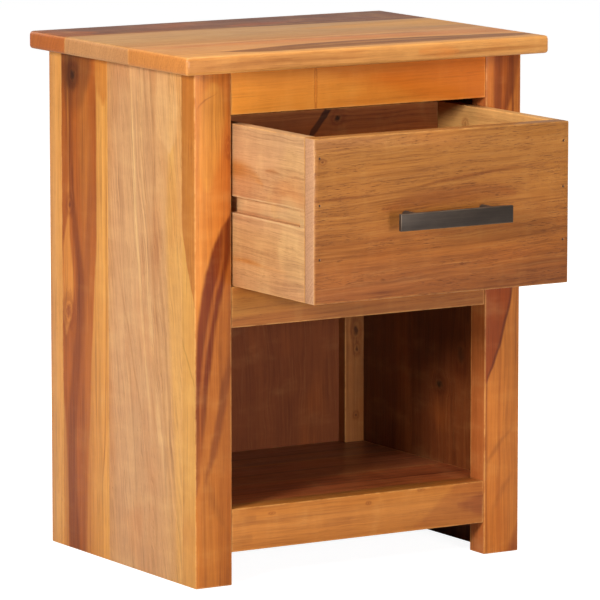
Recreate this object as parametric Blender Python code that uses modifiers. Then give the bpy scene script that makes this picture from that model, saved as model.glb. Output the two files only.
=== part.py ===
"""Bedside cabinet in solid wood: one drawer above an open shelf compartment.

Units are metres and +Z is up. The front faces -Y, and left means -X. The drawer stands
open by DRAWER_OPEN. The origin is on the floor, under the middle of the whole object.
"""

import bmesh
import bpy
from mathutils import Vector

COLLECTION = "bedside_cabinet"

# Clearances
GAP = 0.0003
GLUE_LINE = 0.00015

# Top, made of three boards glued edge to edge
TOP_WIDTH = 0.400
TOP_DEPTH = 0.300
HEIGHT = 0.500
TOP_THICKNESS = 0.017
TOP_JOINTS = (0.108, 0.229)
TOP_ROUND = 0.0035
OVERHANG_SIDE = 0.0195
OVERHANG_FRONT = 0.0195
OVERHANG_BACK = 0.0045

# Carcass
POST_WIDTH = 0.0395
POST_DEPTH = 0.024
PANEL_THICKNESS = 0.0175
PANEL_JOINT = 0.1625
RAIL_THICKNESS = 0.023
RAIL_INSET = 0.001
RAIL_HEIGHT = 0.041
TOP_RAIL_BOTTOM = 0.442
MIDDLE_RAIL_BOTTOM = 0.243
MIDDLE_RAIL_HEIGHT = 0.0388
BOTTOM_RAIL_BOTTOM = 0.031
BACK_RAIL_THICKNESS = 0.020
SHELF_THICKNESS = 0.016
SHELF_STEP = 0.0005
SHELF_BOARDS = 3
CLEAT = 0.018
BACK_PANEL_THICKNESS = 0.005
BACK_PANEL_SETBACK = 0.0123
BACK_PANEL_TONGUE = 0.007
BLOCK_WIDTH = 0.028
BLOCK_HEIGHT = 0.025
EASE = 0.0010

# Drawer
DRAWER_OPEN = 0.142
DRAWER_WIDTH = 0.278
DRAWER_HEIGHT = 0.1515
DRAWER_DEPTH = 0.216
DRAWER_BOTTOM = 0.2825
FRONT_THICKNESS = 0.016
SIDE_THICKNESS = 0.012
BOTTOM_THICKNESS = 0.005
BOTTOM_RAISE = 0.008
BOTTOM_TONGUE = 0.006
GROOVE_HEIGHT = 0.0154
GROOVE_DEPTH = 0.007
GROOVE_START = 0.0238
GROOVE_RAISE = 0.0688
RUNNER_HEIGHT = 0.012
RUNNER_CLEAR = 0.001
RUNNER_PLAY = 0.0005
PIN_RADIUS = 0.0009
PIN_LENGTH = 0.030
PIN_HEIGHTS = (0.041, 0.0905, 0.1335)

# Handle
BAR_LENGTH = 0.1225
BAR_HEIGHT = 0.016
BAR_THICKNESS = 0.004
BAR_DROP = 0.0034
HANDLE_REACH = 0.023
HANDLE_X = 0.001
LEG_SPACING = 0.084
LEG_RADIUS = 0.0042
LEG_THREAD_DEPTH = 0.011

# Wood screws and the handle's machine screws
SCREW_SIDES = 16
HEAD_RADIUS = 0.0036
HEAD_HEIGHT = 0.0022
SHANK_RADIUS = 0.0018
SLOT_WIDTH = 0.0009
SLOT_DEPTH = 0.0010

# Planes that the parts share
FRONT_Y = -(TOP_DEPTH - OVERHANG_FRONT - DRAWER_OPEN - HANDLE_REACH) / 2
TOP_FRONT_Y = FRONT_Y - OVERHANG_FRONT
BACK_Y = TOP_FRONT_Y + TOP_DEPTH - OVERHANG_BACK
SIDE_X = TOP_WIDTH / 2 - OVERHANG_SIDE
POST_INNER_X = SIDE_X - POST_WIDTH
PANEL_INNER_X = SIDE_X - PANEL_THICKNESS
UNDER_TOP_Z = HEIGHT - TOP_THICKNESS
PANEL_FRONT_Y = FRONT_Y + POST_DEPTH
PANEL_BACK_Y = BACK_Y - POST_DEPTH
BACK_PANEL_Y = BACK_Y - BACK_PANEL_SETBACK
SHELF_TOP_Z = BOTTOM_RAIL_BOTTOM + RAIL_HEIGHT - SHELF_STEP
SHELF_UNDER_Z = SHELF_TOP_Z - SHELF_THICKNESS
DRAWER_Y = FRONT_Y - DRAWER_OPEN
DRAWER_HALF = DRAWER_WIDTH / 2
DRAWER_TOP_Z = DRAWER_BOTTOM + DRAWER_HEIGHT
GROOVE_Z = DRAWER_BOTTOM + GROOVE_RAISE
HANDLE_Z = DRAWER_BOTTOM + DRAWER_HEIGHT / 2

SIDES = (("left", -1), ("right", 1))

# Finishes: colour, roughness, metallic
GOLDEN = ((0.56, 0.27, 0.09), 0.38, 0.0)
PALE = ((0.66, 0.40, 0.19), 0.42, 0.0)
BROWN = ((0.42, 0.20, 0.08), 0.45, 0.0)
PLY = ((0.36, 0.19, 0.10), 0.55, 0.0)
GUNMETAL = ((0.085, 0.070, 0.058), 0.42, 0.85)
ZINC = ((0.55, 0.54, 0.50), 0.35, 0.9)


def clear_scene():
    for item in list(bpy.data.objects):
        bpy.data.objects.remove(item)


def new_collection(name):
    made = bpy.data.collections.new(name)
    bpy.context.scene.collection.children.link(made)
    return made


def finish_material(item, finish):
    """Gives the object a Principled material of its own."""
    colour, roughness, metallic = finish
    made = bpy.data.materials.new(item.name)
    made.use_nodes = True
    shader = made.node_tree.nodes["Principled BSDF"]
    shader.inputs["Base Color"].default_value = (*colour, 1.0)
    shader.inputs["Roughness"].default_value = roughness
    shader.inputs["Metallic"].default_value = metallic
    item.data.materials.append(made)


def box_mesh(name, size):
    """A cuboid mesh about its own centre."""
    mesh = bpy.data.meshes.new(name)
    shape = bmesh.new()
    bmesh.ops.create_cube(shape, size=1.0)
    bmesh.ops.scale(shape, vec=size, verts=shape.verts)
    shape.to_mesh(mesh)
    shape.free()
    return mesh


def faces_beside(edge, mesh, size):
    """The names of the two cuboid faces that meet at this edge, such as {"-X", "+Z"}."""
    ends = [mesh.vertices[index].co for index in edge.vertices]
    middle = (ends[0] + ends[1]) / 2
    names = set()
    for axis, place, length in zip("XYZ", middle, size):
        if abs(place) > length / 4:
            names.add(("+" if place > 0 else "-") + axis)
    return names


def ease(board, size, free, width, segments):
    """Rounds the edges where two free faces meet."""
    weights = board.data.attributes.new("bevel_weight_edge", "FLOAT", "EDGE")
    for edge in board.data.edges:
        if faces_beside(edge, board.data, size) <= free:
            weights.data[edge.index].value = 1.0
    bevel = board.modifiers.new("ease", "BEVEL")
    bevel.limit_method = "WEIGHT"
    bevel.width = width
    bevel.segments = segments


def board(name, low, high, finish, free="", width=EASE, segments=2):
    """A board between two corners. free lists the faces whose shared edges are rounded."""
    low, high = Vector(low), Vector(high)
    size = high - low
    item = bpy.data.objects.new(name, box_mesh(name, size))
    item.location = (low + high) / 2
    parts.objects.link(item)
    finish_material(item, finish)
    if free:
        ease(item, size, set(free.split()), width, segments)
    return item


def mirrored(side, low, high):
    """The two corners of a box given for the right side, mirrored to the left if needed."""
    if side > 0:
        return low, high
    return (-high[0], *low[1:]), (-low[0], *high[1:])


def inner(side):
    return "-X" if side > 0 else "+X"


def as_cutter(item):
    item.hide_render = True
    item.display_type = "WIRE"
    cutters.objects.link(item)
    return item


def box_cutter(name, low, high):
    low, high = Vector(low), Vector(high)
    item = bpy.data.objects.new(name, box_mesh(name, high - low))
    item.location = (low + high) / 2
    return as_cutter(item)


def cut(target, cutter):
    boolean = target.modifiers.new(cutter.name, "BOOLEAN")
    boolean.operation = "DIFFERENCE"
    boolean.solver = "EXACT"
    boolean.object = cutter


def turned(name, profile, place, direction, sides=SCREW_SIDES):
    """A turned solid. profile runs from head to tip, and direction is where the tip points."""
    mesh = bpy.data.meshes.new(name)
    points = [(radius, 0.0, -depth) for radius, depth in profile]
    mesh.from_pydata(points, [(i, i + 1) for i in range(len(points) - 1)], [])
    item = bpy.data.objects.new(name, mesh)
    item.location = place
    item.rotation_mode = "QUATERNION"
    item.rotation_quaternion = (-Vector(direction)).to_track_quat("Z", "Y")
    turning = item.modifiers.new("turn", "SCREW")
    turning.steps = sides
    turning.render_steps = sides
    turning.use_merge_vertices = True
    turning.merge_threshold = 0.00001
    turning.use_smooth_shade = True
    return item


def hole_for(name, radius, head_radius, head_height, length, place, direction):
    """A cutter with clearance all round a screw or pin, open above the head."""
    shank, head = radius + GAP, head_radius + GAP
    profile = [(0.0, -0.001), (head, -0.001), (head, GAP)]
    if head_radius > radius:
        profile += [(shank, head_height + GAP)]
    profile += [(shank, length + GAP), (0.0, length + GAP)]
    return as_cutter(turned(name, profile, place, direction))


def slot_across(item, place, direction):
    """A driver slot across the head, level with the face that the screw is sunk in."""
    along = Vector(direction)
    across = Vector((0.0, 0.0, 1.0)) if abs(along.z) < 0.5 else Vector((1.0, 0.0, 0.0))
    size = [SLOT_WIDTH] * 3
    for axis in range(3):
        if abs(along[axis]) > 0.5:
            size[axis] = 2 * SLOT_DEPTH
        if abs(across[axis]) > 0.5:
            size[axis] = 4 * HEAD_RADIUS
    half = Vector(size) / 2
    centre = Vector(place)
    cut(item, box_cutter(item.name + "_slot", centre - half, centre + half))


def wood_screw(name, place, direction, length, through):
    """A countersunk screw, flush with the face at place, in a hole through the given boards."""
    tip = 2 * SHANK_RADIUS
    profile = [(0.0, 0.0), (HEAD_RADIUS, 0.0), (SHANK_RADIUS, HEAD_HEIGHT)]
    profile += [(SHANK_RADIUS, length - tip), (0.0, length)]
    item = turned(name, profile, place, direction)
    parts.objects.link(item)
    finish_material(item, ZINC)
    slot_across(item, place, direction)
    hole = hole_for(
        name + "_hole", SHANK_RADIUS, HEAD_RADIUS, HEAD_HEIGHT, length, place, direction
    )
    for piece in through:
        cut(piece, hole)
    return item


def make_top():
    """Three boards along X. Their shared edges stay square, so the top reads as one slab."""
    bounds = (0.0, *TOP_JOINTS, TOP_DEPTH)
    ends = {"front": "-Y", "middle": "", "back": "+Y"}
    made = {}
    for index, (name, end) in enumerate(ends.items()):
        near = GLUE_LINE / 2 if index > 0 else 0.0
        far = GLUE_LINE / 2 if index < len(ends) - 1 else 0.0
        made[name] = board(
            f"top_board_{name}",
            (-TOP_WIDTH / 2, TOP_FRONT_Y + bounds[index] + near, UNDER_TOP_Z),
            (TOP_WIDTH / 2, TOP_FRONT_Y + bounds[index + 1] - far, HEIGHT),
            GOLDEN,
            f"-X +X -Z +Z {end}",
            TOP_ROUND,
            4,
        )
    return made


def make_posts():
    made = {}
    ends = (("front", FRONT_Y, "-Y"), ("back", BACK_Y - POST_DEPTH, "+Y"))
    for end, near_y, face in ends:
        for name, side in SIDES:
            low, high = mirrored(
                side,
                (POST_INNER_X, near_y, 0.0),
                (SIDE_X, near_y + POST_DEPTH, UNDER_TOP_Z - GAP),
            )
            made[end, name] = board(
                f"post_{end}_{name}", low, high, GOLDEN, f"-X +X -Z {face}"
            )
    return made


def make_side_boards():
    """Two upright boards fill each side between the posts."""
    made = {}
    joint = FRONT_Y + PANEL_JOINT
    spans = {
        "front": (PANEL_FRONT_Y + GLUE_LINE, joint - GLUE_LINE / 2),
        "back": (joint + GLUE_LINE / 2, PANEL_BACK_Y - GLUE_LINE),
    }
    for end, (near, far) in spans.items():
        for name, side in SIDES:
            low, high = mirrored(
                side,
                (PANEL_INNER_X, near, 0.0),
                (SIDE_X, far, UNDER_TOP_Z - GAP),
            )
            made[end, name] = board(
                f"side_board_{name}_{end}", low, high, PALE, "-X +X -Z"
            )
    return made


def make_front_rails():
    heights = {
        "top": (TOP_RAIL_BOTTOM, UNDER_TOP_Z - GAP),
        "middle": (MIDDLE_RAIL_BOTTOM, MIDDLE_RAIL_BOTTOM + MIDDLE_RAIL_HEIGHT),
        "bottom": (BOTTOM_RAIL_BOTTOM, BOTTOM_RAIL_BOTTOM + RAIL_HEIGHT),
    }
    end_x = POST_INNER_X - GAP
    for name, (low_z, high_z) in heights.items():
        board(
            f"rail_front_{name}",
            (-end_x, FRONT_Y + RAIL_INSET, low_z),
            (end_x, FRONT_Y + RAIL_INSET + RAIL_THICKNESS, high_z),
            GOLDEN,
            "-Y +Y -Z +Z" if name != "top" else "-Y +Y -Z",
        )


def make_back(posts):
    """Two rails and a thin panel held in grooves in them and in the back posts."""
    end_x = POST_INNER_X - GAP
    heights = {
        "top": (TOP_RAIL_BOTTOM, UNDER_TOP_Z - GAP),
        "bottom": (BOTTOM_RAIL_BOTTOM, SHELF_UNDER_Z - GAP),
    }
    rails = {}
    for name, (low_z, high_z) in heights.items():
        rails[name] = board(
            f"rail_back_{name}",
            (-end_x, BACK_Y - BACK_RAIL_THICKNESS, low_z),
            (end_x, BACK_Y, high_z),
            BROWN,
            "+Y -Z" if name == "bottom" else "",
        )
    reach_x = POST_INNER_X + BACK_PANEL_TONGUE
    low_z = heights["bottom"][1] - BACK_PANEL_TONGUE
    high_z = heights["top"][0] + BACK_PANEL_TONGUE
    far_y = BACK_PANEL_Y + BACK_PANEL_THICKNESS
    board(
        "back_panel", (-reach_x, BACK_PANEL_Y, low_z), (reach_x, far_y, high_z), PLY
    )
    groove = box_cutter(
        "back_panel_groove",
        (-reach_x - GAP, BACK_PANEL_Y - GAP, low_z - GAP),
        (reach_x + GAP, far_y + GAP, high_z + GAP),
    )
    for piece in (*rails.values(), posts["back", "left"], posts["back", "right"]):
        cut(piece, groove)


def make_shelf(posts, side_boards):
    """Boards along X on two cleats. The last board is notched round the back posts."""
    end_x = PANEL_INNER_X - GAP
    start = PANEL_FRONT_Y + GAP
    stop = BACK_PANEL_Y - GAP
    pitch = (stop - start) / SHELF_BOARDS
    for index, end in enumerate(("front", "middle", "back")):
        shelf = board(
            f"shelf_board_{end}",
            (-end_x, start + index * pitch + GLUE_LINE / 2, SHELF_UNDER_Z),
            (end_x, start + (index + 1) * pitch - GLUE_LINE / 2, SHELF_TOP_Z),
            BROWN,
        )
    for name, side in SIDES:
        low, high = mirrored(
            side,
            (POST_INNER_X - GAP, PANEL_BACK_Y - GAP, SHELF_UNDER_Z - 0.01),
            (SIDE_X, BACK_Y, SHELF_TOP_Z + 0.01),
        )
        cut(shelf, box_cutter(f"shelf_notch_{name}", low, high))
        low, high = mirrored(
            side,
            (end_x - CLEAT, PANEL_FRONT_Y + GAP, SHELF_UNDER_Z - GAP - CLEAT),
            (end_x, PANEL_BACK_Y - GAP, SHELF_UNDER_Z - GAP),
        )
        cleat = board(
            f"shelf_cleat_{name}", low, high, BROWN, f"{inner(side)} -Z"
        )
        for number, end in enumerate(("front", "back"), 1):
            near, far = PANEL_FRONT_Y, FRONT_Y + PANEL_JOINT
            if end == "back":
                near, far = far, PANEL_BACK_Y
            wood_screw(
                f"shelf_cleat_screw_{name}_{number}",
                (side * (end_x - CLEAT), (near + far) / 2, SHELF_UNDER_Z - GAP - CLEAT / 2),
                (side, 0.0, 0.0),
                0.028,
                (cleat, side_boards[end, name]),
            )


def make_corner_blocks(top):
    """Glue blocks under the top's corners, each with a screw up into the top."""
    end_x = PANEL_INNER_X - GAP
    starts = (
        ("front", PANEL_FRONT_Y + GAP),
        ("back", PANEL_BACK_Y - GAP - BLOCK_WIDTH),
    )
    under = UNDER_TOP_Z - GAP - BLOCK_HEIGHT
    for end, near_y in starts:
        for name, side in SIDES:
            low, high = mirrored(
                side,
                (end_x - BLOCK_WIDTH, near_y, under),
                (end_x, near_y + BLOCK_WIDTH, UNDER_TOP_Z - GAP),
            )
            block = board(
                f"corner_block_{end}_{name}", low, high, PALE, f"{inner(side)} -Z"
            )
            wood_screw(
                f"corner_block_screw_{end}_{name}",
                (side * (end_x - BLOCK_WIDTH / 2), near_y + BLOCK_WIDTH / 2, under),
                (0.0, 0.0, 1.0),
                0.035,
                (block, top[end]),
            )


def make_runners(side_boards):
    """Wooden strips on the side boards, from post to post, that the drawer's grooves slide on."""
    end_x = PANEL_INNER_X - GAP
    inner_x = DRAWER_HALF - GROOVE_DEPTH + RUNNER_CLEAR
    top_z = GROOVE_Z + GROOVE_HEIGHT - RUNNER_PLAY
    for name, side in SIDES:
        low, high = mirrored(
            side,
            (inner_x, PANEL_FRONT_Y + GAP, top_z - RUNNER_HEIGHT),
            (end_x, PANEL_BACK_Y - GAP, top_z),
        )
        runner = board(
            f"drawer_runner_{name}", low, high, BROWN, f"{inner(side)} -Y +Z -Z", 0.0008, 1
        )
        middles = (
            ("front", (PANEL_FRONT_Y + FRONT_Y + PANEL_JOINT) / 2),
            ("back", (FRONT_Y + PANEL_JOINT + PANEL_BACK_Y) / 2),
        )
        for number, (end, place_y) in enumerate(middles, 1):
            wood_screw(
                f"runner_screw_{name}_{number}",
                (side * inner_x, place_y, top_z - RUNNER_HEIGHT / 2),
                (side, 0.0, 0.0),
                0.040,
                (runner, side_boards[end, name]),
            )


def make_drawer_box():
    """Front, two grooved sides, back and a thin bottom let into the front and sides."""
    behind = DRAWER_Y + FRONT_THICKNESS + GAP
    rear = DRAWER_Y + DRAWER_DEPTH
    inside_x = DRAWER_HALF - SIDE_THICKNESS
    bottom_z = DRAWER_BOTTOM + BOTTOM_RAISE
    made = {
        "front": board(
            "drawer_front",
            (-DRAWER_HALF, DRAWER_Y, DRAWER_BOTTOM),
            (DRAWER_HALF, DRAWER_Y + FRONT_THICKNESS, DRAWER_TOP_Z),
            PALE,
            "-X +X -Y +Y -Z +Z",
        )
    }
    for name, side in SIDES:
        low, high = mirrored(
            side, (inside_x, behind, DRAWER_BOTTOM), (DRAWER_HALF, rear, DRAWER_TOP_Z)
        )
        made[name] = board(
            f"drawer_side_{name}", low, high, PALE, "-X +X +Y -Z +Z", 0.0008
        )
        low, high = mirrored(
            side,
            (DRAWER_HALF - GROOVE_DEPTH, DRAWER_Y + GROOVE_START, GROOVE_Z),
            (DRAWER_HALF + 0.01, rear + 0.01, GROOVE_Z + GROOVE_HEIGHT),
        )
        cut(made[name], box_cutter(f"runner_groove_{name}", low, high))
    made["back"] = board(
        "drawer_back",
        (-inside_x + GAP, rear - SIDE_THICKNESS, bottom_z + BOTTOM_THICKNESS + GAP),
        (inside_x - GAP, rear - EASE, DRAWER_TOP_Z),
        PALE,
        "-Y +Y +Z",
        0.0008,
    )
    reach_x = inside_x + BOTTOM_TONGUE
    reach_y = DRAWER_Y + FRONT_THICKNESS - BOTTOM_TONGUE
    made["bottom"] = board(
        "drawer_bottom",
        (-reach_x, reach_y, bottom_z),
        (reach_x, rear - EASE, bottom_z + BOTTOM_THICKNESS),
        PLY,
    )
    groove = box_cutter(
        "drawer_bottom_groove",
        (-reach_x - GAP, reach_y - GAP, bottom_z - GAP),
        (reach_x + GAP, rear + 0.01, bottom_z + BOTTOM_THICKNESS + GAP),
    )
    for name in ("front", "left", "right"):
        cut(made[name], groove)
    return made


def make_pins(drawer):
    """Headless pins through the front into the ends of the drawer's sides."""
    profile = [(0.0, 0.0), (PIN_RADIUS, 0.0), (PIN_RADIUS, PIN_LENGTH), (0.0, PIN_LENGTH)]
    made = []
    for name, side in SIDES:
        for number, height in enumerate(PIN_HEIGHTS, 1):
            place = (
                side * (DRAWER_HALF - SIDE_THICKNESS / 2),
                DRAWER_Y + GAP,
                DRAWER_BOTTOM + height,
            )
            pin = turned(
                f"drawer_pin_{name}_{number}", profile, place, (0.0, 1.0, 0.0), 10
            )
            parts.objects.link(pin)
            finish_material(pin, GUNMETAL)
            hole = hole_for(
                pin.name + "_hole", PIN_RADIUS, PIN_RADIUS, 0.0, PIN_LENGTH, place, (0, 1, 0)
            )
            cut(drawer["front"], hole)
            cut(drawer[name], hole)
            made.append(pin)
    return made


def make_handle(drawer):
    """A flat bar, hung a little low on two round legs that screws hold from inside."""
    bar_front = DRAWER_Y - HANDLE_REACH
    bar_back = bar_front + BAR_THICKNESS
    bar_z = HANDLE_Z - BAR_DROP
    made = [
        board(
            "handle_bar",
            (HANDLE_X - BAR_LENGTH / 2, bar_front, bar_z - BAR_HEIGHT / 2),
            (HANDLE_X + BAR_LENGTH / 2, bar_back, bar_z + BAR_HEIGHT / 2),
            GUNMETAL,
            "-X +X -Y +Y -Z +Z",
            0.0006,
        )
    ]
    leg_length = DRAWER_Y - GAP - (bar_back + GAP)
    face_y = DRAWER_Y + FRONT_THICKNESS
    shank_length = FRONT_THICKNESS + LEG_THREAD_DEPTH
    for name, side in SIDES:
        x = HANDLE_X + side * LEG_SPACING / 2
        profile = [(0.0, 0.0), (LEG_RADIUS, 0.0), (LEG_RADIUS, leg_length)]
        profile += [(0.0, leg_length)]
        leg = turned(
            f"handle_leg_{name}", profile, (x, bar_back + GAP, HANDLE_Z), (0, 1, 0), 24
        )
        parts.objects.link(leg)
        finish_material(leg, GUNMETAL)
        screw = wood_screw(
            f"handle_screw_{name}",
            (x, face_y, HANDLE_Z),
            (0.0, -1.0, 0.0),
            shank_length,
            (drawer["front"], leg),
        )
        made += [leg, screw]
    return made


def hang_on_slide(pieces):
    """An empty on the drawer's slide line carries everything that moves."""
    slide = bpy.data.objects.new("drawer_slide", None)
    slide.location = (0.0, DRAWER_Y, DRAWER_BOTTOM + DRAWER_HEIGHT / 2)
    parts.objects.link(slide)
    bpy.context.view_layer.update()
    for piece in pieces:
        piece.parent = slide
        piece.matrix_parent_inverse = slide.matrix_world.inverted()


clear_scene()
parts = new_collection(COLLECTION)
cutters = new_collection("cutters")
top_boards = make_top()
corner_posts = make_posts()
sides = make_side_boards()
make_front_rails()
make_back(corner_posts)
make_shelf(corner_posts, sides)
make_corner_blocks(top_boards)
make_runners(sides)
drawer_box = make_drawer_box()
drawer_pins = make_pins(drawer_box)
handle = make_handle(drawer_box)
hang_on_slide([*drawer_box.values(), *drawer_pins, *handle])
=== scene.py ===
"""Looks of the bedside cabinet: oiled and lacquered solid wood, a dark handle, soft light.

Every board keeps its shape and place from the CAD frame. Each one gets a wood of its own:
tones across the grain, streaks that wander along it, knots, pores, end grain and worn
edges. Some tones also carry painted shade (the front rails, the shelf toward the back and
the right side's inner faces), and the drawer side has painted highlights along its groove.
Lengths in the tables are millimetres from a board's own low corner.
"""

import math

import bpy
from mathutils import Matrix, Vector


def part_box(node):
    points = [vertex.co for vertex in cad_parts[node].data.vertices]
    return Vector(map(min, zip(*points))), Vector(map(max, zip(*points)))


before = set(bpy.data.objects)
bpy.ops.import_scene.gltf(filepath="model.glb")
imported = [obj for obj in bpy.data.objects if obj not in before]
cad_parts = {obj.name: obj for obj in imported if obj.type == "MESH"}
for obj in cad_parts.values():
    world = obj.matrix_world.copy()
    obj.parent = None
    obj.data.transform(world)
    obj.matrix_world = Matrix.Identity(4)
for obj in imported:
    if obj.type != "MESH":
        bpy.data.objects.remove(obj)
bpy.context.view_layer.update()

MM = 0.001
AXES = "xyz"

# Camera of the three-quarter view from the front left: metres, radians and millimetres
CAMERA_PLACE = (-2.6368, -4.2382, 0.9987)
CAMERA_TURN = -0.551245
CAMERA_DIP = -0.148636
CAMERA_LENS = 318.48

# What the amber varnish lets through of red, green and blue
VARNISH = (0.94, 0.80, 0.52)


# ---------------------------------------------------------------- shader arithmetic


def srgb(text):
    """A linear colour from a hex string such as "D49864"."""
    made = []
    for start in (0, 2, 4):
        value = int(text[start : start + 2], 16) / 255
        made.append(value / 12.92 if value <= 0.04045 else ((value + 0.055) / 1.055) ** 2.4)
    return (*made, 1.0)


def varnished(text, tint=(1.0, 1.0, 1.0)):
    """A wood's colour under its amber varnish, tinted a little from board to board."""
    return (*(part * film * own for part, film, own in zip(srgb(text), VARNISH, tint)), 1.0)


def plug(tree, value, socket):
    """Sets a socket from a field, a socket or a plain value."""
    if isinstance(value, Field):
        value = value.socket
    if isinstance(value, bpy.types.NodeSocket):
        tree.links.new(value, socket)
    else:
        socket.default_value = value


class Field:
    """A number that varies over a surface, so that sums of shader nodes read like sums."""

    def __init__(self, tree, socket):
        self.tree = tree
        self.socket = socket

    def math(self, operation, *others):
        node = self.tree.nodes.new("ShaderNodeMath")
        node.operation = operation
        for value, socket in zip((self, *others), node.inputs):
            plug(self.tree, value, socket)
        return Field(self.tree, node.outputs[0])

    def __add__(self, other):
        return self.math("ADD", other)

    def __sub__(self, other):
        return self.math("SUBTRACT", other)

    def __mul__(self, other):
        return self.math("MULTIPLY", other)

    def __truediv__(self, other):
        return self.math("DIVIDE", other)

    def __rsub__(self, other):
        return self * -1.0 + other

    def __abs__(self):
        return self.math("ABSOLUTE")

    __radd__ = __add__
    __rmul__ = __mul__

    def least(self, other):
        return self.math("MINIMUM", other)

    def most(self, other):
        return self.math("MAXIMUM", other)

    def rise(self, low, high):
        """0 below low, 1 above high, smooth between."""
        node = self.tree.nodes.new("ShaderNodeMapRange")
        node.interpolation_type = "SMOOTHSTEP"
        plug(self.tree, self, node.inputs["Value"])
        plug(self.tree, low, node.inputs["From Min"])
        plug(self.tree, high, node.inputs["From Max"])
        return Field(self.tree, node.outputs["Result"])


def mix(tree, amount, first, second, blend="MIX"):
    """A colour socket: second over first by amount."""
    node = tree.nodes.new("ShaderNodeMix")
    node.data_type = "RGBA"
    node.blend_type = blend
    plug(tree, amount, node.inputs[0])
    plug(tree, first, node.inputs[6])
    plug(tree, second, node.inputs[7])
    return node.outputs[2]


def ramp(tree, place, stops, interpolation="CARDINAL"):
    """A colour socket from stops of (position from 0 to 1, colour)."""
    node = tree.nodes.new("ShaderNodeValToRGB")
    node.color_ramp.interpolation = interpolation
    elements = node.color_ramp.elements
    while len(elements) < len(stops):
        elements.new(0.5)
    for element, (position, colour) in zip(elements, sorted(stops, key=lambda s: s[0])):
        element.position = position
        element.color = colour
    plug(tree, place, node.inputs[0])
    return node.outputs[0]


def join_xyz(tree, *values):
    node = tree.nodes.new("ShaderNodeCombineXYZ")
    for value, socket in zip(values, node.inputs):
        plug(tree, value, socket)
    return node.outputs[0]


def split_xyz(tree, socket):
    node = tree.nodes.new("ShaderNodeSeparateXYZ")
    plug(tree, socket, node.inputs[0])
    return [Field(tree, output) for output in node.outputs]


def noise(tree, place, scale, seed, detail=2.0, roughness=0.5):
    """Smooth noise about 0.5. place is a vector in metres and scale its cycles per metre."""
    move = tree.nodes.new("ShaderNodeVectorMath")
    move.operation = "MULTIPLY_ADD"
    plug(tree, place, move.inputs[0])
    move.inputs[1].default_value = scale
    move.inputs[2].default_value = (seed * 7.31, seed * 3.77, seed * 5.13)
    node = tree.nodes.new("ShaderNodeTexNoise")
    node.inputs["Scale"].default_value = 1.0
    node.inputs["Detail"].default_value = detail
    node.inputs["Roughness"].default_value = roughness
    tree.links.new(move.outputs[0], node.inputs["Vector"])
    return Field(tree, node.outputs[0])


def new_material(name):
    material = bpy.data.materials.new(name)
    material.use_nodes = True
    return material, material.node_tree, material.node_tree.nodes["Principled BSDF"]


def dress(name, material):
    """Puts one material on a CAD node in place of its own."""
    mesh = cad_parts[name].data
    mesh.materials.clear()
    mesh.materials.append(material)
    for face in mesh.polygons:
        face.material_index = 0


def bump(tree, shader, height, strength, distance):
    node = tree.nodes.new("ShaderNodeBump")
    node.inputs["Strength"].default_value = strength
    node.inputs["Distance"].default_value = distance
    plug(tree, height, node.inputs["Height"])
    tree.links.new(node.outputs[0], shader.inputs["Normal"])


# ---------------------------------------------------------------- wood

# A streak's path is kept in a colour ramp, its place and half width as parts of these, in metres
PATH_SHIFT = 0.05
PATH_SPAN = 0.25
HALF_SPAN = 0.10

# Noise layers: cycles per metre along the grain and on the two axes across it, a number that
# sets each apart from the others, detail and roughness
LAYERS = {
    "slow": ((4.0, 14.0, 14.0), 1.0, 2.0, 0.5),
    "swirl": ((12.0, 46.0, 46.0), 18.0, 2.0, 0.5),
    "quick": ((22.0, 130.0, 130.0), 2.0, 3.0, 0.6),
    "fuzz": ((30.0, 420.0, 420.0), 3.0, 3.0, 0.65),
    "lines": ((1.8, 230.0, 70.0), 4.0, 4.0, 0.70),
    "bands": ((0.9, 60.0, 25.0), 5.0, 3.0, 0.55),
    "threads": ((12.0, 540.0, 540.0), 17.0, 3.0, 0.68),
    "strands": ((34.0, 1500.0, 1500.0), 6.0, 2.0, 0.6),
    "shimmer": ((46.0, 18.0, 18.0), 7.0, 3.0, 0.6),
    "busy": ((8.0, 36.0, 36.0), 19.0, 3.0, 0.6),
    "lively": ((17.0, 80.0, 80.0), 20.0, 2.0, 0.6),
    "patches": ((9.0, 24.0, 24.0), 8.0, 2.0, 0.5),
    "dashes": ((130.0, 2600.0, 2600.0), 9.0, 1.0, 0.5),
    "crowd": ((14.0, 90.0, 60.0), 10.0, 2.0, 0.5),
    "long_pores": ((45.0, 1500.0, 1500.0), 11.0, 1.0, 0.5),
    "gnarl": ((260.0, 260.0, 260.0), 16.0, 3.0, 0.6),
    "rings": ((520.0, 40.0, 1.0), 12.0, 3.0, 0.6),
    "specks": ((400.0, 900.0, 900.0), 13.0, 2.0, 0.6),
    "chips": ((70.0, 70.0, 70.0), 14.0, 3.0, 0.7),
    "smear": ((11.0, 30.0, 30.0), 15.0, 3.0, 0.6),
    "brushed": ((9.0, 1400.0, 1400.0), 1.0, 3.0, 0.7),
    "cloud": ((26.0, 60.0, 60.0), 2.0, 3.0, 0.6),
    "spots": ((900.0, 900.0, 900.0), 3.0, 2.0, 0.6),
    "film": ((300.0, 300.0, 300.0), 1.0, 3.0, 0.6),
    "grit": ((2500.0, 2500.0, 2500.0), 2.0, 2.0, 0.6),
    "crust": ((1400.0, 1400.0, 1400.0), 1.0, 3.0, 0.7),
}

# How far the waves push the figure sideways, as parts of a board's own wave
SLOW_PUSH = 2.2
SWIRL_PUSH = 1.3
QUICK_PUSH = 0.6
STREAK_PUSH = 1.2
STREAK_FRAY = 0.9

# The grain bends round a knot as far as this many times its size, by this part
KNOT_REACH = 2.2
KNOT_FADE = 2.6
KNOT_BEND = 0.40

# A face counts as turned to an axis between these parts of its normal
TURNED = (0.5, 0.8)
TURNED_END = (0.55, 0.8)

# A streak narrower than the first half width doesn't show, and a wider one than the second does
STREAK_SHOWS = (0.0001, 0.0008)

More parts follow.
